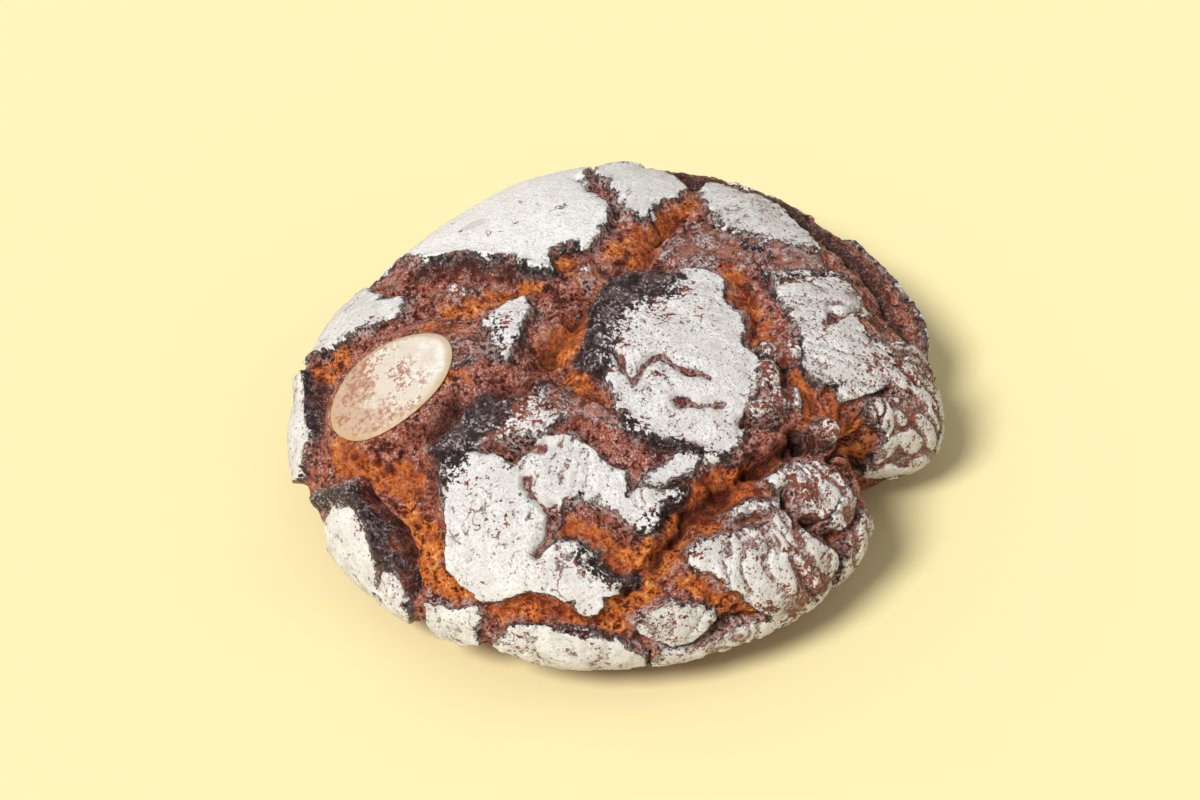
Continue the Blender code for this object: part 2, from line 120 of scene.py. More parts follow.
# Floured plates of crust, as corners in crust hundredths
PLATES = {
    "back_slab": (
        (-50, 32), (-42, 24), (-34, 21), (-26, 18), (-20, 17), (-16, 11), (-13, 11),
        (-14, 17), (-10, 21), (-7, 18), (-4, 22), (-3, 27), (-3, 34), (-6, 44), (-7, 54),
        (-7, 66), (-20, 74), (-34, 66), (-46, 46),
    ),
    "back_knob": (
        (1, 31), (6, 31), (8, 35), (11, 37), (14, 43), (13, 50), (10, 57), (3, 60),
        (-4, 60), (-3, 50), (0, 40),
    ),
    "left_back": (
        (-45, 10), (-45, 6), (-52, 4), (-62, 4), (-68, 6), (-84, 10), (-88, 24),
        (-70, 30), (-61, 24), (-55, 17), (-49, 12),
    ),
    "left_rim": (
        (-76, -1), (-75, -9), (-73, -16), (-74, -20), (-80, -23), (-90, -27),
        (-104, -26), (-110, -8), (-96, 2), (-85, 3),
    ),
    "left_front": (
        (-70, -43), (-63, -44), (-60, -50), (-60, -57), (-62, -60), (-64, -63),
        (-69, -68), (-78, -76), (-92, -76), (-96, -66), (-90, -56), (-82, -50), (-76, -45),
    ),
    "left_front_low": (
        (-61, -64), (-58, -63), (-56, -66), (-57, -71), (-61, -77), (-64, -84),
        (-74, -92), (-84, -86), (-79, -78), (-70, -71),
    ),
    "front_left_small": (
        (-53, -78), (-50, -75), (-46, -75), (-43, -78), (-36, -77), (-36, -82),
        (-40, -88), (-42, -97), (-52, -100), (-60, -95), (-58, -86),
    ),
    "front_block": (
        (-35, -35), (-27, -33), (-22, -37), (-14, -38), (-14, -48), (-12, -51),
        (-17, -59), (-17, -70), (-23, -71), (-29, -74), (-33, -75), (-37, -70),
        (-39, -64), (-37, -58), (-35, -53), (-35, -45),
    ),
    "front_top": (
        (-25, -27), (-21, -23), (-16, -22), (-13, -24), (-10, -27), (-12, -29),
        (-15, -32), (-22, -31), (-28, -31),
    ),
    "front_band": (
        (-14, -33), (-10, -32), (-7, -35), (-4, -37), (0, -40), (1, -46), (4, -44),
        (13, -44), (13, -47), (8, -49), (7, -53), (5, -54), (2, -53), (0, -50),
        (-4, -48), (-10, -46), (-12, -49), (-15, -52), (-20, -45), (-20, -38),
    ),
    "front_low": (
        (-17, -60), (-12, -57), (-8, -58), (-6, -60), (-7, -63), (-3, -67), (4, -68),
        (4, -70), (-3, -71), (-3, -75), (-6, -79), (-9, -76), (-9, -72), (-12, -73),
        (-15, -71), (-17, -70),
    ),
    "middle": (
        (12, 7), (12, 12), (15, 12), (20, 10), (21, 7), (21, 2), (24, 0), (24, -9),
        (29, -13), (28, -18), (26, -22), (24, -27), (25, -30), (23, -34), (19, -36),
        (14, -34), (5, -33), (2, -28), (-1, -22), (-2, -15), (-3, -6), (1, -4),
        (4, 1), (8, 1), (9, 4),
    ),
    "middle_sliver": ((4, -42), (8, -39), (12, -37), (16, -37), (14, -40), (9, -42)),
    "small_triangle": ((-25, -2), (-22, 2), (-18, 3), (-18, -1), (-21, -11), (-24, -9)),
    "back_right": (
        (18, 42), (21, 47), (28, 49), (35, 47), (35, 43), (38, 37), (41, 31), (42, 28),
        (38, 25), (34, 24), (28, 25), (23, 28), (20, 33),
    ),
    "right": (
        (31, 13), (36, 14), (43, 16), (46, 20), (49, 21), (51, 15), (56, 9), (50, 7),
        (49, 5), (56, 0), (60, -3), (60, -9), (57, -13), (53, -18), (50, -14),
        (46, -15), (42, -14), (39, -11), (38, -6), (35, 0), (33, 6),
    ),
    "right_rim": (
        (58, -1), (62, 3), (70, 7), (80, 8), (88, 4), (91, -4), (82, -7), (76, -9),
        (70, -10), (65, -12), (60, -9),
    ),
    "right_lobe": (
        (60, -14), (66, -13), (72, -9), (80, -6), (90, -3), (102, -5), (114, -14),
        (114, -26), (104, -30), (92, -28), (84, -24), (76, -21), (68, -21), (62, -18),
    ),
    "lobe_top": (
        (31, -40), (36, -37), (43, -36), (48, -37), (52, -41), (50, -47), (47, -50),
        (42, -50), (39, -47), (35, -44),
    ),
    "lobe_side": ((53, -40), (58, -43), (59, -49), (55, -54), (51, -51), (52, -46)),
    "lobe_rim": (
        (62, -47), (70, -47), (80, -58), (88, -70), (84, -82), (72, -76), (69, -66), (65, -58),
    ),
    "lobe_front": (
        (17, -56), (24, -54), (32, -53), (34, -49), (38, -49), (39, -54), (44, -55),
        (48, -56), (57, -60), (64, -66), (69, -74), (70, -86), (64, -97), (51, -90),
        (42, -82), (33, -77), (32, -74), (26, -71), (23, -67), (19, -64), (16, -61),
    ),
    "lobe_sliver": ((22, -50), (24, -48), (28, -47), (34, -46), (34, -48), (28, -49)),
    "front_low_right": (
        (3, -83), (7, -78), (12, -75), (20, -77), (26, -84), (23, -89), (23, -93),
        (16, -94), (9, -91), (5, -87),
    ),
    "front_rim": (
        (-37, -96), (-35, -91), (-28, -85), (-22, -83), (-18, -83), (-13, -87),
        (-6, -89), (0, -91), (3, -96), (8, -101), (9, -112), (-14, -117), (-30, -110),
    ),
    "front_rim_right": (
        (12, -97), (18, -99), (25, -97), (30, -92), (38, -88), (45, -87), (52, -92),
        (50, -102), (38, -110), (20, -116), (11, -112),
    ),
    "back_middle": (
        (8, 80), (22, 78), (38, 74), (50, 68), (60, 72), (50, 88), (30, 100), (8, 98),
    ),
    "back_wall": (
        (-40, 78), (-20, 82), (0, 84), (2, 100), (-6, 116), (-34, 110), (-48, 94),
    ),
    "back_corner": (
        (-60, 44), (-54, 56), (-50, 70), (-58, 86), (-76, 74), (-84, 52), (-74, 38),
    ),
    "back_right_wall": (
        (72, 42), (82, 26), (96, 20), (110, 30), (100, 52), (84, 68), (68, 66), (64, 54),
    ),
}

# Bare, dark crust with no flour on it
BARE_CRUST = {
    "middle_corner": (
        (-7, -14), (-5, -6), (-4, 2), (-1, 7), (6, 9), (13, 10), (14, 4), (6, -4), (-1, -16),
    ),
    "front_corner": ((-37, -31), (-32, -27), (-25, -22), (-21, -24), (-24, -32), (-34, -36)),
    "back_saddle": (
        (6, 19), (9, 23), (12, 27), (17, 28), (21, 27), (25, 24), (33, 24), (42, 24),
        (45, 18), (38, 14), (30, 14), (20, 13), (12, 14),
    ),
    "front_saddle": ((-16, -18), (-10, -21), (-4, -24), (2, -30), (-4, -30), (-12, -26)),
    "left_front_corner": (
        (-84, -36), (-70, -35), (-60, -36), (-57, -44), (-57, -56), (-56, -66),
        (-58, -74), (-62, -62), (-61, -46), (-67, -43), (-78, -46),
    ),
    "right_saddle": ((52, 6), (60, 4), (66, 2), (62, -2), (56, 1)),
}

# Splits that run through the crust: (half width and depth in metres, then places along them)
SPLITS = {
    "cleft": (0.0032, 0.0050, ((76, -29), (62, -28), (50, -33), (44, -31), (38, -29))),
    "valley": (
        0.0040, 0.0065,
        ((38, -31), (30, -36), (23, -41), (17, -49), (13, -55), (9, -62), (3, -70)),
    ),
    "left_front": (
        0.0035, 0.0080,
        ((-57, -39), (-55, -46), (-54, -51), (-54, -57), (-54, -65), (-56, -75)),
    ),
    "below_label": (0.0026, 0.0045, ((-30, -16), (-32, -23), (-38, -27), (-44, -30))),
    "upper_channel": (
        0.0035, 0.0050,
        ((-24, -18), (-19, -14), (-14, -10), (-9, -2), (-7, 5), (-2, 11), (5, 17), (10, 28)),
    ),
    "upper_left": (0.0030, 0.0040, ((-44, 16), (-36, 13), (-28, 12), (-19, 8))),
    "streak": (0.0022, 0.0025, ((-8, 52), (-5, 44), (1, 34))),
    "back_right_rim": (
        0.0028, 0.0035,
        ((8, 58), (19, 54), (30, 50), (39, 45), (49, 40), (57, 31), (67, 24), (80, 19)),
    ),
    "back_slit": (0.0019, 0.0038, ((21, 22), (27, 22), (32, 19))),
    "right_channel": (0.0025, 0.0035, ((28, 8), (29, -3), (34, -12), (35, -22), (40, -30))),
    "middle_crease": (0.0019, 0.0045, ((25, -29), (31, -28), (36, -27), (41, -29))),
    "lobe_joint": (0.0016, 0.0030, ((48, -33), (56, -30), (66, -30), (80, -31), (96, -31))),
    "lobe_split": (
        0.0024, 0.0045,
        ((35, -44), (39, -50), (46, -51), (54, -54), (61, -58), (65, -64), (67, -72)),
    ),
    "front_split": (0.0024, 0.0035, ((5, -94), (14, -97), (22, -95), (30, -89), (40, -86))),
    "middle_zigzag": (0.0013, 0.0032, ((0, -13), (3, -20), (8, -12), (12, -16), (18, -18))),
    "middle_slit": (0.0015, 0.0032, ((11, -23), (15, -25), (20, -24))),
    "front_slit": (0.0018, 0.0036, ((-29, -33), (-23, -34), (-14, -35))),
    "front_notch": (0.0015, 0.0034, ((-12, -48), (-14, -53), (-17, -60))),
    "front_crack": (0.0014, 0.0032, ((-18, -40), (-17, -45), (-14, -50), (-12, -53))),
    "saddle_crack": (0.0014, 0.0028, ((8, 24), (13, 22), (18, 19), (26, 16), (34, 17))),
    "saddle_branch": (0.0012, 0.0024, ((13, 22), (15, 26), (20, 27))),
    "right_tear": (0.0016, 0.0034, ((44, 3), (49, 7), (54, 10))),
    "lobe_crack": (0.0014, 0.0028, ((41, -62), (49, -71), (63, -80))),
}

# Scorched lips that curl up at a plate's edge: (half width and height in metres, places)
LIPS = {
    "back_rim": (
        0.0100, 0.0030,
        ((4, 66), (16, 64), (26, 62), (36, 56), (48, 50), (58, 42), (68, 33), (82, 24)),
    ),
    "left_gap": (0.0065, 0.0038, ((-76, 3), (-86, 6), (-96, 8))),
    "middle_left": (0.0030, 0.0020, ((-4, -13), (-4, -4), (-2, 4), (3, 9), (10, 10))),
    "front_corner": (0.0030, 0.0018, ((-35, -40), (-35, -33), (-30, -27), (-24, -21))),
    "front_left_edge": (0.0025, 0.0012, ((-35, -44), (-35, -52), (-38, -60), (-37, -68))),
    "left_front": (0.0028, 0.0024, ((-78, -39), (-68, -38), (-61, -39), (-58, -48), (-58, -58))),
    "left_rim": (0.0025, 0.0014, ((-75, -2), (-73, -9), (-71, -16))),
    "back_slab": (0.0025, 0.0014, ((-42, 23), (-32, 19), (-22, 15), (-14, 10))),
    "front_low": (0.0022, 0.0012, ((-8, -59), (-6, -64), (0, -67), (5, -69))),
    "middle_front": (0.0024, 0.0012, ((2, -29), (6, -34), (14, -36), (22, -36))),
    "lobe_front": (0.0024, 0.0012, ((18, -60), (26, -69), (34, -75), (44, -82))),
    "channel_fold": (0.0024, 0.0034, ((25, -34), (31, -31), (37, -29))),
}

# Round lumps that stand in the channels: (p, q, half width, half depth, height in metres)
KNOBS = (
    (33, -9, 3.6, 2.8, 0.0030),
    (31, -16, 3.4, 2.6, 0.0028),
    (34, -21, 3.2, 2.4, 0.0024),
    (29, -25, 3.0, 2.4, 0.0024),
    (45, -28, 3.4, 2.6, 0.0026),
    (-4, 10, 2.6, 2.2, 0.0020),
    (-30, -9, 2.4, 2.0, 0.0016),
    (-32, 9, 2.6, 1.8, 0.0014),
)

# Flour on each plate, and how creased the plate is, both from 0 to 1
FLOUR = {
    "back_slab": (1.15, 0.0),
    "back_knob": (1.0, 0.1),
    "left_back": (0.85, 0.1),
    "left_rim": (0.8, 0.2),
    "left_front": (0.85, 0.2),
    "left_front_low": (0.75, 0.3),
    "front_left_small": (0.75, 0.3),
    "front_block": (0.85, 0.2),
    "front_top": (0.5, 0.2),
    "front_band": (0.8, 0.3),
    "front_low": (0.8, 0.3),
    "middle": (0.82, 0.15),
    "middle_sliver": (0.8, 0.2),
    "small_triangle": (0.8, 0.2),
    "back_right": (0.75, 0.3),
    "right": (0.65, 0.35),
    "right_rim": (0.50, 1.0),
    "right_lobe": (0.62, 1.0),
    "lobe_top": (0.45, 0.5),
    "lobe_side": (0.5, 0.6),
    "lobe_rim": (0.55, 0.8),
    "lobe_front": (0.66, 0.45),
    "lobe_sliver": (0.5, 0.3),
    "front_low_right": (0.7, 0.3),
    "front_rim": (0.8, 0.3),
    "front_rim_right": (0.7, 0.4),
}

FLOUR_ELSEWHERE = (0.8, 0.3)
KNOB_FLOUR = 0.20

# Scorched places: (reach in crust hundredths, strength, places along them)
SCORCH = {
    "middle_left": (6.0, 1.0, ((-5, -14), (-3, -4), (1, 4), (8, 7))),
    "front_corner": (6.0, 1.0, ((-34, -36), (-30, -28), (-24, -24))),
    "front_top": (4.0, 0.7, ((-26, -24), (-20, -22))),
    "left_front": (3.2, 0.95, ((-78, -40), (-68, -39), (-61, -41), (-59, -50), (-59, -62))),
    "left_rim": (5.0, 0.9, ((-74, -3), (-72, -10), (-71, -17))),
    "back_slab": (2.5, 0.8, ((-44, 22), (-33, 18), (-24, 15), (-14, 10), (-11, 15), (-8, 19))),
    "back_saddle": (4.0, 0.38, ((10, 24), (20, 26), (30, 20), (40, 17))),
    "front_saddle": (4.0, 0.45, ((-14, -19), (-6, -24))),
    "front_low": (3.0, 0.9, ((-8, -59), (-6, -64), (0, -67), (5, -69))),
    "band_tip": (3.0, 0.8, ((5, -54), (9, -50), (13, -45))),
    "middle_front": (2.0, 0.7, ((2, -29), (6, -34), (14, -36), (22, -36))),
    "right_edge": (2.5, 0.6, ((33, 12), (42, 16), (48, 20), (52, 14))),
    "small_triangle": (2.0, 0.7, ((-24, -2), (-22, -9), (-19, -7))),
    "back_rim": (
        5.0, 1.1,
        ((6, 62), (17, 58), (28, 55), (38, 51), (46, 45), (54, 37), (62, 28), (72, 18), (84, 13)),
    ),
}

# Freshly torn, orange places with little dust on them: (reach, strength, places along them)
FRESH = {
    "under_back_slab": (4.0, 1.0, ((-34, 6), (-26, 6), (-18, 7))),
    "channel": (5.0, 0.7, ((-10, 15), (-5, 8), (-1, 2), (-7, -3), (-12, -10))),
    "beside_label": (4.0, 0.7, ((-74, -3), (-62, 1))),
    "streak": (3.5, 0.9, ((14, 50), (14, 37), (12, 30))),
    "below_knob": (5.0, 0.7, ((2, 19), (8, 27), (12, 33))),
    "back_slit": (3.5, 0.9, ((19, 22), (25, 23), (31, 21))),
    "right_channel": (3.5, 0.8, ((23, 12), (25, 4), (26, -4), (30, -8), (36, -14), (42, -20))),
    "right_saddle": (3.0, 0.9, ((52, 7), (55, 4))),
    "left_front_top": (5.0, 0.8, ((-66, -29), (-52, -34), (-46, -38))),
    "left_front": (
        5.0, 1.2, ((-46, -49), (-43, -55), (-47, -60), (-48, -65), (-42, -70), (-35, -77)),
    ),
    "front": (
        5.5, 1.3, ((-33, -79), (-28, -77), (-20, -76), (-10, -79), (-2, -82), (1, -76), (5, -70)),
    ),
    "front_hollow": (4.5, 0.8, ((-15, -51), (-11, -54), (-5, -58), (-1, -61), (3, -63))),
    "valley": (5.5, 1.1, ((5, -67), (11, -58), (15, -51), (20, -45), (25, -42), (31, -39))),
    "under_lobe": (4.0, 1.2, ((18, -68), (25, -73), (32, -80), (44, -86), (54, -94))),
    "label_right": (4.0, 0.5, ((-36, -2), (-34, -6), (-33, -14))),
    "lobe_face": (5.5, 0.50, ((39, -23), (50, -25), (60, -24), (72, -27), (90, -29))),
    "middle_left": (3.5, 0.8, ((-8, -16), (-6, -22), (-1, -27))),
}

# Patches where the flour has rubbed thin: (p, q, half width, half depth, strength)
PATCHES = (
    (8, -15, 5, 5, 0.25),
    (61, -72, 5, 6, 0.7),
    (45, -66, 3, 3, 0.6),
    (54, -8, 4, 6, 0.35),
    (42, 2, 3, 5, 0.25),
    (-17, -62, 3, 3, 0.4),
    (-27, -27, 4, 5, 0.5),
    (6, -4, 6, 9, 0.18),
    (33, -78, 6, 5, 0.3),
    (53, -75, 8, 6, 0.7),
    (30, -62, 5, 3, 0.25),
    (-31, 32, 2.5, 1.5, 0.5),
    (-2, 38, 3, 5, 0.6),
)

# Colours: linear red, green and blue, with an alpha of 1
# The deep and pale dough colours are the ends of the tone: partly random tone, partly painted shade and
# highlight on the grain
RAW_DEEP = (0.080, 0.009, 0.002, 1)
RAW_ORANGE = (0.840, 0.208, 0.026, 1)
RAW_PALE = (0.960, 0.470, 0.150, 1)
RAW_RED = (0.500, 0.092, 0.026, 1)
RAW_BROWN = (0.330, 0.050, 0.015, 1)
RAW_SHADE = (0.120, 0.016, 0.006, 1)
OLD_DEEP = (0.055, 0.008, 0.005, 1)
OLD_MAROON = (0.470, 0.112, 0.060, 1)
OLD_PALE = (0.700, 0.340, 0.235, 1)
OLD_SCORCHED = (0.075, 0.018, 0.013, 1)
OLD_SHADE = (0.060, 0.011, 0.008, 1)
DOUGH_SALT = (0.74, 0.63, 0.60, 1)
# Painted shade under plate edges
DOUGH_UNDER_PLATE_SHADE = (0.075, 0.013, 0.008, 1)
DOUGH_FLOUR = (0.62, 0.56, 0.54, 1)
# Painted shade deep in splits, burst bubbles and torn hollows
DOUGH_HOLLOW_SHADE = (0.055, 0.007, 0.002, 1)
SHELL_DARK = (0.110, 0.034, 0.026, 1)
SHELL_PURPLE = (0.430, 0.225, 0.195, 1)
SHELL_RED = (0.330, 0.100, 0.058, 1)
SHELL_GREY = (0.340, 0.270, 0.270, 1)
SHELL_UNDER_FLOUR = (0.215, 0.056, 0.030, 1)
SHELL_SEAM = (0.050, 0.012, 0.009, 1)
SHELL_FROST = (0.60, 0.52, 0.50, 1)
COAL_DARK = (0.022, 0.010, 0.010, 1)
COAL_BROWN = (0.135, 0.080, 0.080, 1)
COAL_ASH = (0.50, 0.455, 0.455, 1)
FLOUR_GREY = (0.570, 0.548, 0.530, 1)
FLOUR_WHITE = (0.705, 0.688, 0.670, 1)
FLOUR_SHADE = (0.420, 0.400, 0.385, 1)
FLOUR_THICK = (0.745, 0.730, 0.712, 1)
FLOUR_SPECK = (0.42, 0.36, 0.33, 1)
WAFER_DULL = (0.60, 0.53, 0.445, 1)
WAFER_CREAM = (0.72, 0.685, 0.62, 1)
WAFER_STAIN = (0.455, 0.290, 0.190, 1)
WAFER_BROWN = (0.300, 0.120, 0.062, 1)
WAFER_SPECK = (0.16, 0.09, 0.06, 1)
WAFER_RIM = (0.48, 0.33, 0.17, 1)

# Sizes of the colour noise, metres
LARGE = 0.022
MIDDLE = 0.0068
FINE = 0.0024
SPECK = 0.0012
COARSE_BUMP = 0.0022
FINE_BUMP = 0.0009

# Studio, metres; the key lies in the direction KEY_FROM and is KEY_SIZE radians across
FLOOR_SIZE = 6.0
FLOOR_COLOUR = (0.80, 0.702, 0.392, 1.0)
KEY_FROM = (-0.43, -0.43, 0.79)
KEY_SIZE = 0.34
KEY_POWER = 3.40
KEY_COLOUR = (1.0, 0.99, 0.975)
FILL = 0.475
FILL_COLOUR = (1.0, 0.99, 0.97, 1.0)
CAMERA_RISE = 46.0
CAMERA_DISTANCE = 0.94
CAMERA_LENS = 85.0
CAMERA_SENSOR = 36.0
CAMERA_AIM = (-0.0057, -0.0023, 0.0309)


# ---------------------------------------------------------------- noise over points in space


def scatter(ix, iy, iz, seed):
    """A fixed pseudo-random number from 0 to 1 for each whole-number cell."""
    h = (ix * 374761393 + iy * 668265263 + iz * 1440662683 + seed * 974634777) & 0xFFFFFFFF
    h = ((h ^ (h >> 13)) * 1274126177) & 0xFFFFFFFF
    h = ((h ^ (h >> 15)) * 2246822519) & 0xFFFFFFFF
    return ((h ^ (h >> 16)) & 0xFFFFFF) / 16777215.0


def bumps(points, size, seed):
    """Smooth noise from -1 to 1 with lumps about size metres apart."""
    at = points / size
    cell = np.floor(at).astype(np.int64)
    part = at - cell
    ease = part * part * part * (part * (part * 6.0 - 15.0) + 10.0)
    total = np.zeros(len(points))
    for dx in (0, 1):
        wx = ease[:, 0] if dx else 1.0 - ease[:, 0]
        for dy in (0, 1):
            wy = ease[:, 1] if dy else 1.0 - ease[:, 1]
            for dz in (0, 1):
                wz = ease[:, 2] if dz else 1.0 - ease[:, 2]
                ix, iy, iz = cell[:, 0] + dx, cell[:, 1] + dy, cell[:, 2] + dz
                total += wx * wy * wz * scatter(ix, iy, iz, seed)
    return total * 2.0 - 1.0


def layered(points, size, octaves, seed):
    """Noise of several sizes, each half as large and half as high as the last."""
    total = np.zeros(len(points))
    high = 1.0
    for octave in range(octaves):
        total += high * bumps(points, size / 2.0**octave, seed + octave)
        high *= 0.5
    return total / 1.6


def cells(points, size, seed):
    """Distance to the nearest scattered dot, in cell sizes, and a value for its cell."""
    at = points / size
    cell = np.floor(at).astype(np.int64)
    nearest = np.full(len(points), 9.0)
    value = np.zeros(len(points))
    for dx in (-1, 0, 1):
        for dy in (-1, 0, 1):
            for dz in (-1, 0, 1):
                ix, iy, iz = cell[:, 0] + dx, cell[:, 1] + dy, cell[:, 2] + dz
                gx = ix + scatter(ix, iy, iz, seed) - at[:, 0]
                gy = iy + scatter(ix, iy, iz, seed + 1) - at[:, 1]
                gz = iz + scatter(ix, iy, iz, seed + 2) - at[:, 2]
                away = np.sqrt(gx * gx + gy * gy + gz * gz)
                nearer = away < nearest
                value = np.where(nearer, scatter(ix, iy, iz, seed + 3), value)
                nearest = np.where(nearer, away, nearest)
    return nearest, value


def ramp(value, low, high):
    """0 below low, 1 above high, eased between."""
    share = np.clip((value - low) / (high - low), 0.0, 1.0)
    return share * share * (3.0 - 2.0 * share)


# ---------------------------------------------------------------- the loaf's form


def azimuth_gap(a, b):
    return (a - b + 180.0) % 360.0 - 180.0


def plan_radius(azimuth):
    """The waist's distance from the middle, in metres, for azimuths in degrees."""
    share = np.ones_like(azimuth)
    for at, half_width, swell in OUTLINE:
        share = share + swell * np.exp(-((azimuth_gap(azimuth, at) / half_width) ** 2))
    return RADIUS * share


def smooth_crust(p, q):
    """Points of the loaf's smooth form at crust places (p, q), as an array of rows."""
    way = np.hypot(p, q)
    angle = np.arctan2(q, p)
    turn = np.radians(0.9 * np.minimum(way, FOOT))
    s, c = np.sin(turn), np.cos(turn)
    reach = (np.abs(s) ** FULLNESS + np.abs(c) ** FULLNESS) ** (-1.0 / FULLNESS)
    swell = plan_radius(np.degrees(angle)) - RADIUS
    radius = reach * s * (RADIUS + swell * np.clip(way / 100.0, 0.0, 1.2) ** 1.5)
    height = WAIST + reach * c * np.where(c > 0.0, HEIGHT - WAIST, UNDERCUT)
    base = np.clip((200.0 - way) / (200.0 - FOOT), 0.0, 1.0)
    radius = radius * np.where(way > FOOT, base, 1.0)
    x, y = radius * np.cos(angle), radius * np.sin(angle)
    return np.stack([x, y, np.maximum(height, 0.0)], axis=-1)


def outward(p, q):
    """Outward unit normals of the smooth form."""
    step = 0.5
    along = smooth_crust(p + step, q) - smooth_crust(p - step, q)
    across = smooth_crust(p, q + step) - smooth_crust(p, q - step)
    normal = np.cross(along, across)
    return normal / np.maximum(np.linalg.norm(normal, axis=-1, keepdims=True), 1e-12)


def from_segment(p, q, start, end):
    """Distance from each place to the line from start to end, in crust hundredths."""
    dp, dq = end[0] - start[0], end[1] - start[1]
    share = ((p - start[0]) * dp + (q - start[1]) * dq) / (dp * dp + dq * dq)
    share = np.clip(share, 0.0, 1.0)
    return np.hypot(p - start[0] - share * dp, q - start[1] - share * dq)


def from_line(p, q, places, reach=FAR):
    """Distance from each place to a broken line, no more than reach."""
    away = np.full(p.shape, reach)
    near = close_to(p, q, places, reach)
    for start, end in zip(places, places[1:]):
        away[near] = np.minimum(away[near], from_segment(p[near], q[near], start, end))
    return away


def close_to(p, q, places, reach):
    """Which places lie within reach of the box round the given ones."""
    ps, qs = [at[0] for at in places], [at[1] for at in places]
    across = (p > min(ps) - reach) & (p < max(ps) + reach)
    return across & (q > min(qs) - reach) & (q < max(qs) + reach)


def depth_inside(p, q, corners, reach=FAR):
    """How far each place lies inside an outline: negative outside it, no less than -reach."""
    result = np.full(p.shape, -reach)
    near = close_to(p, q, corners, reach)
    a, b = p[near], q[near]
    away = np.full(a.shape, np.inf)
    inside = np.zeros(a.shape, bool)
    for start, end in zip(corners, corners[1:] + corners[:1]):
        away = np.minimum(away, from_segment(a, b, start, end))
        crosses = (start[1] > b) != (end[1] > b)
        rise = end[1] - start[1] if end[1] != start[1] else 1.0
        inside ^= crosses & (a < start[0] + (b - start[1]) / rise * (end[0] - start[0]))
    result[near] = np.where(inside, away, -np.minimum(away, reach))
    return result


def label_reach(p, q):
    """How far out each place lies from the label's middle, 1 at its edge."""
    turn = math.radians(LABEL_TURN)
    dp, dq = p - LABEL_AT[0], q - LABEL_AT[1]
    along = (dp * math.cos(turn) + dq * math.sin(turn)) * UNIT / (LABEL_LENGTH / 2)
    across = (dq * math.cos(turn) - dp * math.sin(turn)) * UNIT / (LABEL_WIDTH / 2)
    return np.hypot(along, across)


def crust_places(directions):
    """Crust places for unit directions from the middle: most of them land above the foot."""
    share = np.arccos(np.clip(directions[:, 2], -1.0, 1.0)) / math.pi
    above = share / TOP_SHARE * FOOT
    below = FOOT + (share - TOP_SHARE) / (1.0 - TOP_SHARE) * (200.0 - FOOT)
    way = np.where(share < TOP_SHARE, above, below)
    angle = np.arctan2(directions[:, 1], directions[:, 0])
    return way * np.cos(angle), way * np.sin(angle)


def ball(cuts):
    """Unit directions and quads of a finely cut cube blown up to a ball."""
    steps = np.tan(np.linspace(-1.0, 1.0, cuts + 1) * math.pi / 4)
    u, v = np.meshgrid(steps, steps, indexing="ij")
    u, v, one = u.ravel(), v.ravel(), np.ones(u.size)
    sides = [
        (one, u, v), (-one, v, u), (v, one, u), (u, -one, v), (u, v, one), (v, u, -one),
    ]
    points = np.concatenate([np.stack(side, axis=1) for side in sides])
    row = np.arange(cuts)
    i, j = np.meshgrid(row, row, indexing="ij")
    corner = (i * (cuts + 1) + j).ravel()
    quad = np.stack([corner, corner + cuts + 1, corner + cuts + 2, corner + 1], axis=1)
    quads = np.concatenate([quad + k * u.size for k in range(6)])
    keys = np.round(points * 1e6).astype(np.int64)
    _, kept, merged = np.unique(keys, axis=0, return_index=True, return_inverse=True)
    points = points[kept]
    directions = points / np.linalg.norm(points, axis=1, keepdims=True)
    return directions, merged.ravel()[quads]


# ---------------------------------------------------------------- the crust in full detail


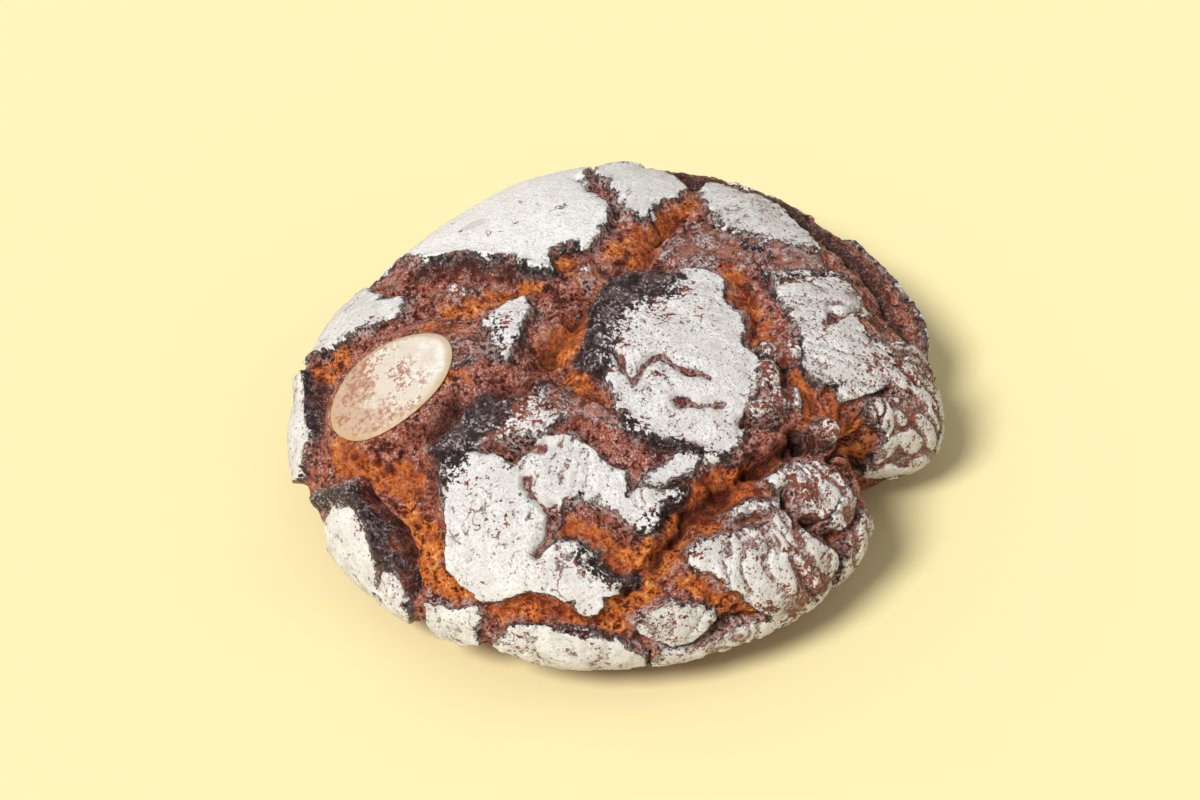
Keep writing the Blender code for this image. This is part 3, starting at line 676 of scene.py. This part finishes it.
def crust_fields(p, q, smooth):
    """Everything that shapes and colours the crust, worked out at places (p, q)."""
    n = len(p)
    # Torn edges wander, so the outlines are read at slightly shifted places
    wander_p = WANDER * bumps(smooth, WANDER_SIZE, 11) + FRAY * layered(smooth, FRAY_SIZE, 3, 12)
    wander_q = WANDER * bumps(smooth, WANDER_SIZE, 21) + FRAY * layered(smooth, FRAY_SIZE, 3, 22)
    wp, wq = p + wander_p, q + wander_q
    plate = np.full(n, -FAR)
    dust = np.zeros(n)
    wrinkle = np.zeros(n)
    for name, corners in PLATES.items():
        inside = depth_inside(wp, wq, corners)
        level, creased = FLOUR.get(name, FLOUR_ELSEWHERE)
        closest = inside > plate
        dust = np.where(closest, level, dust)
        wrinkle = np.where(closest, creased, wrinkle)
        plate = np.maximum(plate, inside)
    knob = np.zeros(n)
    for centre_p, centre_q, half_p, half_q, height in KNOBS:
        away = np.hypot((wp - centre_p) / half_p, (wq - centre_q) / half_q)
        knob = knob + height * np.sqrt(np.clip(1.15 - away**2, 0.0, 1.0))
        inside = np.maximum((1.0 - away) * half_q, -FAR)
        dust = np.where(inside > plate, KNOB_FLOUR, dust)
        plate = np.maximum(plate, inside)
    bare = np.full(n, -FAR)
    for corners in BARE_CRUST.values():
        bare = np.maximum(bare, depth_inside(wp, wq, corners))
    split = np.zeros(n)
    uneven = layered(smooth, 0.007, 2, 25)
    for half_width, depth, places in SPLITS.values():
        away = from_line(wp, wq, places)
        narrow = half_width * (0.9 + 0.55 * uneven)
        split = split + depth * (0.9 + 0.5 * uneven) * np.exp(-((away * UNIT / narrow) ** 2))
    lip = np.zeros(n)
    for half_width, height, places in LIPS.values():
        away = from_line(wp, wq, places)
        lip = lip + height * np.exp(-((away * UNIT / half_width) ** 2))
    scorch = np.zeros(n)
    for reach, level, places in SCORCH.values():
        away = from_line(wp, wq, places)
        scorch = np.maximum(scorch, level * np.exp(-((away / reach) ** 2)))
    fresh = np.zeros(n)
    for reach, level, places in FRESH.values():
        away = from_line(wp, wq, places)
        fresh = np.maximum(fresh, level * np.exp(-((away / reach) ** 2)))
    patch = np.zeros(n)
    for centre_p, centre_q, half_p, half_q, level in PATCHES:
        away = np.hypot((wp - centre_p) / half_p, (wq - centre_q) / half_q)
        patch = patch + level * np.exp(-(away**2))
    return plate, dust, wrinkle, bare, split, lip + knob, scorch, fresh, patch


def crust_shape(p, q):
    """Points of the finished crust, and the numbers that its material is coloured by."""
    smooth = smooth_crust(p, q)
    fields = crust_fields(p, q, smooth)
    plate, dust, wrinkle, bare, split, lip, scorch, fresh, patch = fields
    crust = np.maximum(plate + PLATE_MARGIN, bare)
    torn = 1.0 - np.exp(-np.maximum(-crust, 0.0) / TORN_WIDTH)
    out = ramp(-crust, -0.3, 1.2)
    rise = DOME * (1.0 - np.exp(-np.maximum(crust, 0.0) / DOME_WIDTH))
    rise -= RIM_FALL * np.clip(0.5 - crust / RIM_WIDTH, 0.0, 1.0) + TORN_FALL * torn
    rise += lip - split
    # Torn dough: lumps, grains and burst bubbles
    lumps = layered(smooth, LUMP_SIZE, 2, 31)
    grain = layered(smooth, GRAIN_SIZE, 3, 41)
    rise += out * (LUMP_HEIGHT * lumps + GRAIN_HEIGHT * grain)
    away, value = cells(smooth, BUBBLE_SIZE, 51)
    pit = ramp(0.46 - away, 0.0, 0.34) * (value > 0.40)
    rise -= out * BUBBLE_DEPTH * pit
    away, value = cells(smooth, SMALL_BUBBLE_SIZE, 55)
    small = ramp(0.42 - away, 0.0, 0.30) * (value > 0.35)
    pit = np.maximum(pit, 0.7 * small)
    rise -= out * SMALL_BUBBLE_DEPTH * small
    # Plates: slow waves, small wrinkles, and creases that run down the slope
    waves = WAVE_HEIGHT * bumps(smooth, 0.012, 61)
    waves = waves + WRINKLE_HEIGHT * layered(smooth, 0.004, 2, 62)
    rise += (1.0 - out) * waves
    way, angle = np.hypot(p, q), np.arctan2(q, p)
    downhill = np.stack([0.1 * np.cos(angle), 0.1 * np.sin(angle), 0.28 * way * UNIT], axis=1)
    downhill += 0.0028 * bumps(smooth, 0.010, 70)[:, None]
    fold = 1.0 - np.abs(layered(downhill, CREASE_SIZE, 2, 71)) * 3.4
    crease = ramp(fold, 0.10, 0.75) * wrinkle * ramp(bumps(smooth, 0.009, 75), -0.8, -0.1)
    rise -= (1.0 - out) * CREASE_DEPTH * crease
    # Crumbly, slightly lifted edge
    edge = np.exp(-(((crust - 0.5) / 0.9) ** 2))
    rise += edge * CRUMBLE_HEIGHT * (0.5 + layered(smooth, 0.0035, 2, 81))
    seat = np.clip((SEAT_FADE - label_reach(p, q)) / (SEAT_FADE - SEAT_MARGIN), 0.0, 1.0)
    seat = seat * seat * (3.0 - 2.0 * seat)
    fade = np.clip((FOOT - 8.0 - way) / 26.0, 0.0, 1.0)
    rise *= fade * (1.0 - seat)
    rise += seat * SEAT_GRAIN * grain * fade
    points = smooth + outward(p, q) * rise[:, None]
    under = UNDERSIDE_LIFT * ramp(layered(smooth, 0.009, 3, 91), 0.1, 0.9) * (way > FOOT)
    points[:, 2] = np.where(way >= FOOT - 6.0, under, np.maximum(points[:, 2], 0.0))
    # How hollow each place lies, in a split, a burst bubble or torn dough: the material paints shade
    # there, and keeps flour and bare crust out
    hollow = np.clip(split / DEEP_SPLIT, 0.0, 1.0) ** 1.7
    hollow = hollow + 0.42 * pit * out * ramp(lumps, 0.3, -0.3) + 0.14 * torn * out
    marks = {
        "plate": plate, "dust": dust - patch, "bare": bare, "scorch": scorch,
        "hollow": hollow, "fresh": fresh, "crease": crease, "seat": seat,
        # grain is the dough's grain height; the material also paints light and shade from it
        "grain": grain,
    }
    return points, marks


def mesh_of(name, points, faces, marks=None):
    mesh = bpy.data.meshes.new(name)
    mesh.vertices.add(len(points))
    mesh.vertices.foreach_set("co", points.astype(np.float32).ravel())
    sizes = faces.shape[1]
    mesh.loops.add(faces.size)
    mesh.loops.foreach_set("vertex_index", faces.astype(np.int32).ravel())
    mesh.polygons.add(len(faces))
    mesh.polygons.foreach_set("loop_start", np.arange(0, faces.size, sizes, dtype=np.int32))
    for mark, values in (marks or {}).items():
        layer = mesh.attributes.new(mark, "FLOAT", "POINT")
        layer.data.foreach_set("value", values.astype(np.float32))
    mesh.update(calc_edges=True)
    mesh.validate()
    return mesh


def thinned(mesh, triangles):
    """The same surface in fewer triangles, kept where it bends most."""
    fine = bpy.data.objects.new("fine", mesh)
    bpy.context.scene.collection.objects.link(fine)
    decimate = fine.modifiers.new("thinning", "DECIMATE")
    decimate.ratio = triangles / (2.0 * len(mesh.polygons))
    bpy.context.view_layer.update()
    seen = fine.evaluated_get(bpy.context.evaluated_depsgraph_get())
    coarse = bpy.data.meshes.new_from_object(seen)
    bpy.data.objects.remove(fine)
    return coarse


def add_piece(name, mesh, finish, node):
    """A piece of the object in the scene, standing for a node of the solid model."""
    made = bpy.data.objects.new(name, mesh)
    bpy.context.scene.collection.objects.link(made)
    made.data.materials.clear()
    made.data.materials.append(finish)
    made.data.shade_smooth()
    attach(made, "root")
    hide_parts(node)


# ---------------------------------------------------------------- materials


class Nodes:
    """Short ways to add and join shader nodes."""

    def __init__(self, name):
        self.material = bpy.data.materials.new(name)
        self.material.use_nodes = True
        self.tree = self.material.node_tree
        self.shader = self.tree.nodes["Principled BSDF"]
        self.place = self.tree.nodes.new("ShaderNodeTexCoord").outputs["Object"]

    def join(self, value, socket):
        if isinstance(value, bpy.types.NodeSocket):
            self.tree.links.new(value, socket)
        else:
            socket.default_value = value

    def math(self, kind, *values, clamp=False):
        node = self.tree.nodes.new("ShaderNodeMath")
        node.operation = kind
        node.use_clamp = clamp
        for value, socket in zip(values, node.inputs):
            self.join(value, socket)
        return node.outputs[0]

    def add(self, a, b):
        return self.math("ADD", a, b)

    def times(self, a, b):
        return self.math("MULTIPLY", a, b)

    def most(self, a, b):
        return self.math("MAXIMUM", a, b)

    def rest(self, share, clamp=False):
        """What a share leaves of one."""
        return self.math("SUBTRACT", 1.0, share, clamp=clamp)

    def swing(self, noise, amount):
        """Noise moved to lie about zero, amount from end to end."""
        return self.times(self.math("SUBTRACT", noise, 0.5), amount)

    def mark(self, name):
        node = self.tree.nodes.new("ShaderNodeAttribute")
        node.attribute_name = name
        return node.outputs["Fac"]

    def noise(self, size, detail, rough, seed):
        """Noise from 0 to 1 whose lumps are about size metres apart."""
        moved = self.tree.nodes.new("ShaderNodeMapping")
        moved.inputs["Location"].default_value = (seed, seed * 0.7, -seed * 0.4)
        self.tree.links.new(self.place, moved.inputs["Vector"])
        node = self.tree.nodes.new("ShaderNodeTexNoise")
        self.tree.links.new(moved.outputs[0], node.inputs["Vector"])
        node.inputs["Scale"].default_value = 1.0 / size
        node.inputs["Detail"].default_value = detail
        node.inputs["Roughness"].default_value = rough
        return node.outputs["Fac"]

    def cracks(self, size, warp, seed=0.0):
        """Distance to the nearest of a net of wandering cracks, in cell sizes."""
        noise = self.tree.nodes.new("ShaderNodeTexNoise")
        noise.inputs["Scale"].default_value = 1.6 / size
        noise.inputs["Detail"].default_value = 3.0
        self.tree.links.new(self.place, noise.inputs["Vector"])
        shift = self.tree.nodes.new("ShaderNodeVectorMath")
        shift.operation = "MULTIPLY_ADD"
        self.tree.links.new(noise.outputs["Color"], shift.inputs[0])
        shift.inputs[1].default_value = (warp, warp, warp)
        self.tree.links.new(self.place, shift.inputs[2])
        node = self.tree.nodes.new("ShaderNodeTexVoronoi")
        node.feature = "DISTANCE_TO_EDGE"
        node.inputs["Scale"].default_value = 1.0 / size
        self.tree.links.new(shift.outputs[0], node.inputs["Vector"])
        return node.outputs["Distance"]

    def dots(self, size, reach, seed=0.0):
        """Scattered round specks about size metres apart, each out to reach cells from its middle."""
        moved = self.tree.nodes.new("ShaderNodeMapping")
        moved.inputs["Location"].default_value = (seed, -seed * 0.6, seed * 0.3)
        self.tree.links.new(self.place, moved.inputs["Vector"])
        node = self.tree.nodes.new("ShaderNodeTexVoronoi")
        node.inputs["Scale"].default_value = 1.0 / size
        self.tree.links.new(moved.outputs[0], node.inputs["Vector"])
        return self.ramp(node.outputs["Distance"], reach, reach * 0.6)

    def ramp(self, value, low, high):
        node = self.tree.nodes.new("ShaderNodeMapRange")
        node.interpolation_type = "SMOOTHSTEP"
        self.join(value, node.inputs["Value"])
        node.inputs["From Min"].default_value = low
        node.inputs["From Max"].default_value = high
        return node.outputs["Result"]

    def mix(self, share, a, b):
        node = self.tree.nodes.new("ShaderNodeMix")
        node.data_type = "RGBA"
        self.join(share, node.inputs["Factor"])
        self.join(a, [s for s in node.inputs if s.name == "A" and s.type == "RGBA"][0])
        self.join(b, [s for s in node.inputs if s.name == "B" and s.type == "RGBA"][0])
        return [s for s in node.outputs if s.type == "RGBA"][0]

    def bump(self, height, distance, strength=1.0, under=None):
        node = self.tree.nodes.new("ShaderNodeBump")
        node.inputs["Strength"].default_value = strength
        node.inputs["Distance"].default_value = distance
        self.tree.links.new(height, node.inputs["Height"])
        if under is not None:
            self.tree.links.new(under, node.inputs["Normal"])
        return node.outputs["Normal"]


def crust_material():
    """Torn dough, bare dark crust, scorched lips and flour, laid over each other in that order."""
    m = Nodes("rye_crust")
    plate, dust, bare = m.mark("plate"), m.mark("dust"), m.mark("bare")
    scorch, hollow, fresh = m.mark("scorch"), m.mark("hollow"), m.mark("fresh")
    large = m.noise(LARGE, 2.0, 0.5, 3.0)
    middle = m.noise(MIDDLE, 3.0, 0.6, 7.0)
    fine = m.noise(FINE, 5.0, 0.72, 9.0)
    speck = m.noise(SPECK, 2.0, 0.6, 13.0)
    facing = m.tree.nodes.new("ShaderNodeNewGeometry").outputs["Normal"]
    apart = m.tree.nodes.new("ShaderNodeSeparateXYZ")
    m.tree.links.new(facing, apart.inputs[0])
    upward = m.ramp(apart.outputs["Z"], 0.25, 0.95)

    # Freshly torn dough, orange and open; older torn crust, maroon under a salting of flour
    # Random tone plus painted highlight and shade: lighter on the high grains of torn dough, darker in
    # its low ones
    tone_and_grain_shade = m.add(m.times(m.mark("grain"), 0.60), m.swing(fine, 3.0))
    tone_and_grain_shade = m.add(tone_and_grain_shade, m.swing(speck, 2.2))
    raw = m.mix(m.ramp(tone_and_grain_shade, -0.50, 0.05), RAW_DEEP, RAW_ORANGE)
    raw = m.mix(m.ramp(tone_and_grain_shade, 0.10, 0.65), raw, RAW_PALE)
    old = m.mix(m.ramp(tone_and_grain_shade, -0.50, 0.05), OLD_DEEP, OLD_MAROON)
    old = m.mix(m.ramp(tone_and_grain_shade, 0.10, 0.75), old, OLD_PALE)
    old = m.mix(m.math("MULTIPLY", scorch, 1.1, clamp=True), old, OLD_SCORCHED)
    raw = m.mix(m.times(m.ramp(large, 0.46, 0.58), 0.50), raw, RAW_RED)
    raw = m.mix(m.times(m.ramp(middle, 0.55, 0.43), 0.62), raw, RAW_BROWN)
    shade = m.ramp(m.add(middle, m.swing(fine, 0.6)), 0.44, 0.34)
    raw = m.mix(m.times(shade, 0.75), raw, RAW_SHADE)
    old = m.mix(m.times(shade, 0.70), old, OLD_SHADE)
    torn = m.add(fresh, m.swing(middle, 1.5))
    torn = m.ramp(m.add(torn, m.swing(large, 0.9)), 0.22, 0.60)
    dough = m.mix(torn, old, raw)
    salt = m.most(m.dots(0.0012, 0.42, 3.0), m.dots(0.0008, 0.42, 5.0))
    dusty = m.ramp(m.add(m.swing(fine, 1.6), middle), 0.34, 0.66)
    salt = m.times(m.times(salt, dusty), m.add(m.times(upward, 0.65), 0.25))
    salt = m.times(salt, m.rest(m.times(scorch, 0.7), clamp=True))
    dough = m.mix(m.times(salt, m.rest(m.times(torn, 0.86))), dough, DOUGH_SALT)
    # Painted shade under some plate edges, and spilt flour beside others
    under_plate_shade = m.ramp(m.add(plate, m.swing(fine, 2.5)), -2.6, -1.0)
    under_plate_shade = m.times(under_plate_shade, m.ramp(middle, 0.40, 0.56))
    dough = m.mix(m.times(under_plate_shade, 0.65), dough, DOUGH_UNDER_PLATE_SHADE)
    spill = m.ramp(m.add(plate, m.swing(fine, 6.0)), -3.4, -0.9)
    spill = m.times(m.times(spill, m.ramp(middle, 0.54, 0.42)), m.ramp(speck, 0.44, 0.56))
    spill = m.times(spill, m.rest(m.times(scorch, 0.9), clamp=True))
    dough = m.mix(m.times(spill, 0.75), dough, DOUGH_FLOUR)
    # Painted shade: dough darkened deep in splits, burst bubbles and torn hollows
    hollow_shade = m.ramp(m.add(hollow, m.swing(fine, 1.6)), 0.50, 1.20)
    dough = m.mix(m.times(hollow_shade, 0.85), dough, DOUGH_HOLLOW_SHADE)

    # Bare crust: purple grey, dusted
    shell = m.mix(m.ramp(tone_and_grain_shade, -0.6, 0.3), SHELL_DARK, SHELL_PURPLE)
    shell = m.mix(m.times(m.ramp(middle, 0.52, 0.40), 0.6), shell, SHELL_RED)
    shell = m.mix(m.times(m.ramp(middle, 0.58, 0.68), 0.6), shell, SHELL_GREY)
    shell = m.mix(m.ramp(plate, -0.4, 0.6), shell, SHELL_UNDER_FLOUR)
    seams = m.ramp(m.cracks(0.0075, 0.009), 0.055, 0.015)
    shell = m.mix(m.times(seams, 0.85), shell, SHELL_SEAM)
    frost = m.most(m.dots(0.0010, 0.46, 7.0), m.ramp(speck, 0.52, 0.60))
    shell = m.mix(m.times(m.times(frost, dusty), 0.75), shell, SHELL_FROST)
    body = m.most(m.add(plate, 0.3), bare)
    wild = m.add(m.swing(fine, 3.0), m.swing(middle, 8.0))
    on_shell = m.ramp(m.add(body, wild), -0.2, 0.5)
    on_shell = m.times(on_shell, m.ramp(hollow, 0.45, 0.15))
    base = m.mix(on_shell, dough, shell)

    # Scorched lips, and a thin scorched line along every torn edge
    line = m.math("ABSOLUTE", m.add(plate, 0.9))
    line = m.times(m.ramp(line, 0.9, 0.2), m.ramp(m.add(middle, m.times(large, 0.6)), 0.74, 0.92))
    char = m.add(scorch, m.swing(middle, 1.3))
    char = m.ramp(m.add(char, m.swing(fine, 0.7)), 0.36, 0.52)
    char = m.times(char, m.ramp(m.add(body, m.times(fine, 1.8)), -1.6, 0.2))
    char = m.most(char, m.times(line, 0.9))
    coal = m.mix(m.ramp(tone_and_grain_shade, -0.4, 0.6), COAL_DARK, COAL_BROWN)
    ash = m.most(m.dots(0.0011, 0.42, 11.0), m.ramp(speck, 0.55, 0.62))
    ash = m.times(ash, m.ramp(m.add(m.times(fine, 0.6), m.times(middle, 0.4)), 0.46, 0.58))
    coal = m.mix(m.times(ash, 0.8), coal, COAL_ASH)
    base = m.mix(char, base, coal)

    # Flour: thick in the middle of a plate, ragged at its edge, worn through in specks
    ragged = m.add(m.swing(middle, 3.6), m.swing(fine, 4.2))
    reach = m.ramp(m.add(plate, ragged), -0.85, -0.15)
    worn = m.add(m.swing(middle, 1.3), m.swing(fine, 2.6))
    worn = m.add(worn, m.swing(large, 1.0))
    worn = m.add(worn, m.swing(speck, 1.8))
    cover = m.ramp(m.add(m.math("SUBTRACT", dust, m.times(scorch, 0.85)), worn), 0.22, 0.36)
    flour = m.times(reach, cover)
    net = m.cracks(0.013, 0.016)
    some = m.ramp(m.add(m.noise(0.012, 1.0, 0.5, 21.0), m.times(fine, 0.25)), 0.68, 0.76)
    hair = m.times(m.ramp(net, 0.030, 0.008), some)
    flour = m.times(flour, m.rest(m.times(hair, 0.85)))
    crease = m.ramp(m.add(m.mark("crease"), m.swing(fine, 1.6)), 0.26, 0.46)
    flour = m.times(flour, m.rest(m.times(crease, 0.92)))
    opened = m.ramp(m.add(hollow, m.swing(fine, 0.5)), 0.14, 0.26)
    flour = m.times(flour, m.rest(opened))
    thin = m.math("SUBTRACT", 1.25, dust)
    pepper = m.add(m.times(middle, 0.6), m.add(m.times(large, 0.5), m.times(thin, 0.30)))
    pepper = m.times(m.dots(0.0015, 0.33, 17.0), m.ramp(pepper, 0.70, 0.86))
    flour = m.times(flour, m.rest(m.times(pepper, 0.85)))
    flour = m.times(flour, m.rest(m.ramp(m.mark("seat"), 0.05, 0.5)))
    white = m.mix(m.ramp(middle, 0.35, 0.65), FLOUR_GREY, FLOUR_WHITE)
    white = m.mix(m.times(m.ramp(fine, 0.50, 0.36), 0.55), white, FLOUR_SHADE)
    white = m.mix(m.ramp(dust, 0.95, 1.12), white, FLOUR_THICK)
    white = m.mix(m.times(m.ramp(speck, 0.46, 0.34), 0.30), white, FLOUR_SPECK)
    colour = m.mix(flour, base, white)
    m.join(colour, m.shader.inputs["Base Color"])
    m.join(m.add(m.times(flour, 0.50), 0.38), m.shader.inputs["Roughness"])
    m.shader.inputs["Specular IOR Level"].default_value = 0.32

    loose = m.rest(m.times(flour, 0.75))
    rough = m.times(fine, m.times(m.add(m.times(m.rest(on_shell), 0.85), 0.6), loose))
    crumbs = m.add(m.add(rough, m.times(flour, 0.30)), m.times(salt, 0.10))
    coarse = m.bump(crumbs, COARSE_BUMP)
    m.tree.links.new(m.bump(m.times(speck, loose), FINE_BUMP, under=coarse), m.shader.inputs["Normal"])
    return m.material


def wafer_material():
    """Cream wafer, browned and stained in patches, with a thin translucent-looking edge."""
    m = Nodes("baked_wafer")
    reach = m.mark("reach")
    along = m.mark("along")
    cloudy = m.noise(0.0075, 4.0, 0.6, 5.0)
    fine = m.noise(0.0016, 4.0, 0.7, 8.0)
    speck = m.noise(0.0006, 2.0, 0.6, 15.0)
    cream = m.mix(m.ramp(cloudy, 0.40, 0.62), WAFER_DULL, WAFER_CREAM)
    stain = m.add(m.swing(cloudy, 1.8), m.times(along, -0.60))
    stain = m.ramp(m.add(stain, m.swing(fine, 1.6)), -0.22, 0.16)
    cream = m.mix(m.times(stain, 0.85), cream, WAFER_STAIN)
    brown = m.add(m.swing(fine, 1.8), m.swing(cloudy, 1.4))
    brown = m.times(m.ramp(brown, -0.02, 0.22), m.ramp(along, 0.80, 0.25))
    colour = m.mix(m.times(brown, 0.80), cream, WAFER_BROWN)
    colour = m.mix(m.times(m.ramp(speck, 0.64, 0.70), 0.5), colour, WAFER_SPECK)
    rim = m.ramp(m.add(reach, m.swing(fine, 0.06)), 0.86, 0.97)
    colour = m.mix(m.times(rim, 0.75), colour, WAFER_RIM)
    m.join(colour, m.shader.inputs["Base Color"])
    m.shader.inputs["Roughness"].default_value = 0.45
    m.shader.inputs["Specular IOR Level"].default_value = 0.45
    height = m.bump(m.add(fine, m.times(cloudy, 1.5)), 0.0003, 0.6)
    m.tree.links.new(height, m.shader.inputs["Normal"])
    return m.material


# ---------------------------------------------------------------- pieces


def loaf_piece():
    """The whole crust, and the middle of its footprint, which becomes the origin."""
    directions, quads = ball(MESH_CUTS)
    p, q = crust_places(directions)
    points, marks = crust_shape(p, q)
    middle = (points.min(axis=0) + points.max(axis=0))[:2] / 2.0
    points[:, :2] -= middle
    mesh = thinned(mesh_of("loaf_fine", points, quads, marks), TRIANGLES)
    add_piece("loaf_crust", mesh, crust_material(), "loaf")
    return middle


def label_piece(middle):
    """A thin curved oval with a slightly wavy face and a rounded edge."""
    rings, spokes = 40, 160
    share = np.concatenate([np.linspace(0.0, 1.0, rings), np.linspace(1.0, 0.0, rings)])
    lift = np.concatenate([np.ones(rings), np.zeros(rings)])
    turn = np.linspace(0.0, 2.0 * math.pi, spokes, endpoint=False)
    r, t = np.meshgrid(share, turn, indexing="ij")
    up = np.repeat(lift[:, None], spokes, axis=1).ravel()
    r, t = r.ravel(), t.ravel()
    wobble = 1.0 + 0.012 * np.sin(3.0 * t + 1.0) + 0.008 * np.sin(5.0 * t)
    along = r * wobble * np.cos(t)
    across = r * wobble * np.sin(t)
    a = math.radians(LABEL_TURN)
    dp = along * LABEL_LENGTH / 2 / UNIT
    dq = across * LABEL_WIDTH / 2 / UNIT
    p = LABEL_AT[0] + dp * math.cos(a) - dq * math.sin(a)
    q = LABEL_AT[1] + dp * math.sin(a) + dq * math.cos(a)
    smooth = smooth_crust(p, q)
    edge = ramp(r, 1.0, 0.90)
    height = LABEL_GAP + up * LABEL_THICKNESS * (0.45 + 0.55 * edge)
    height = height + up * 0.00022 * layered(smooth, 0.011, 2, 101)
    points = smooth + outward(p, q) * height[:, None]
    points[:, :2] -= middle
    ring = np.arange(2 * rings - 1)
    i, j = np.meshgrid(ring, np.arange(spokes), indexing="ij")
    one, two = (i * spokes + j).ravel(), (i * spokes + (j + 1) % spokes).ravel()
    quads = np.stack([one, one + spokes, two + spokes, two], axis=1)
    mesh = mesh_of("label_fine", points, quads, {"reach": r, "along": along})
    add_piece("wafer_label", mesh, wafer_material(), "label")


def sun(name, source, size, power):
    """A far lamp in the direction source, size radians across."""
    light = bpy.data.lights.new(name, "SUN")
    light.energy = power
    light.angle = size
    light.color = KEY_COLOUR
    lamp = bpy.data.objects.new(name, light)
    bpy.context.scene.collection.objects.link(lamp)
    lamp.rotation_euler = Vector(source).to_track_quat("Z", "Y").to_euler()


def studio():
    """A plain pale floor, one large soft key from the front left, and a soft fill all round."""
    size = FLOOR_SIZE / 2.0
    corners = [(-size, -size, 0.0), (size, -size, 0.0), (size, size, 0.0), (-size, size, 0.0)]
    floor = bpy.data.objects.new("floor", mesh_of("floor", np.array(corners), np.array([[0, 1, 2, 3]])))
    bpy.context.scene.collection.objects.link(floor)
    paper = Nodes("pale_floor")
    paper.shader.inputs["Base Color"].default_value = FLOOR_COLOUR
    paper.shader.inputs["Roughness"].default_value = 1.0
    paper.shader.inputs["Specular IOR Level"].default_value = 0.0
    floor.data.materials.append(paper.material)
    sun("key", KEY_FROM, KEY_SIZE, KEY_POWER)
    world = bpy.data.worlds.new("fill")
    bpy.context.scene.world = world
    world.use_nodes = True
    world.node_tree.nodes["Background"].inputs["Color"].default_value = FILL_COLOUR
    world.node_tree.nodes["Background"].inputs["Strength"].default_value = FILL
    bpy.context.scene.view_settings.view_transform = "Standard"


def camera():
    """The camera looks down on the loaf from the front, CAMERA_RISE degrees above the floor."""
    rise = math.radians(CAMERA_RISE)
    back = Vector((0.0, -math.cos(rise), math.sin(rise)))
    made = bpy.data.objects.new("camera", bpy.data.cameras.new("camera"))
    made.data.lens = CAMERA_LENS
    made.data.sensor_width = CAMERA_SENSOR
    bpy.context.scene.collection.objects.link(made)
    made.location = Vector(CAMERA_AIM) + back * CAMERA_DISTANCE
    made.rotation_euler = (-back).to_track_quat("-Z", "Y").to_euler()
    bpy.context.scene.camera = made


def main():
    for old in [o for o in bpy.data.objects if o.type in ("LIGHT", "CAMERA")]:
        bpy.data.objects.remove(old)
    middle = loaf_piece()
    label_piece(middle)
    studio()
    camera()


main()
